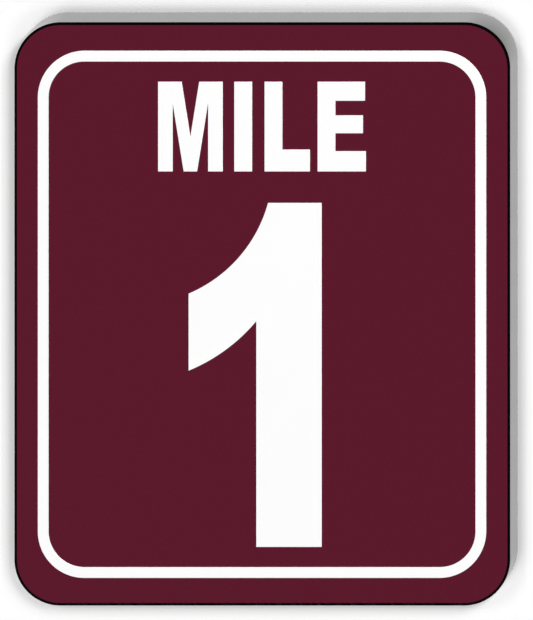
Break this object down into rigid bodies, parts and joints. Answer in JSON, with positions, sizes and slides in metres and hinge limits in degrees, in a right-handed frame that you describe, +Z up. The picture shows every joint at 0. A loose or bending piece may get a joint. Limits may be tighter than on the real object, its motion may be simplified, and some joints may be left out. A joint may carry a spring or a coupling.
{
  "type": "mile marker sign",
  "caption": "Flat upright road sign on aluminium sheet with rounded corners, a white border stripe and a large white numeral on a maroon field.",
  "frame": {"origin": "centre of the sheet's back face, where the sign is fixed to its post or wall", "axes": "+X to the right as the sign is read, +Z up, +Y out of the back face, so the printed face looks along -Y"},
  "size_m": [0.216, 0.0034, 0.254],
  "materials": {
    "sheet_aluminium": "bare rolled sheet with a fine lengthwise grain and a cut edge",
    "black_film": "smooth satin black",
    "maroon_film": "smooth satin maroon",
    "white_film": "smooth satin white"
  },
  "bodies": {
    "root": {"aluminium_sheet": "sheet_aluminium", "edge_line": "black_film", "background_film": "maroon_film", "border_stripe": "white_film", "numeral_one": "white_film"}
  },
  "joints": []
}
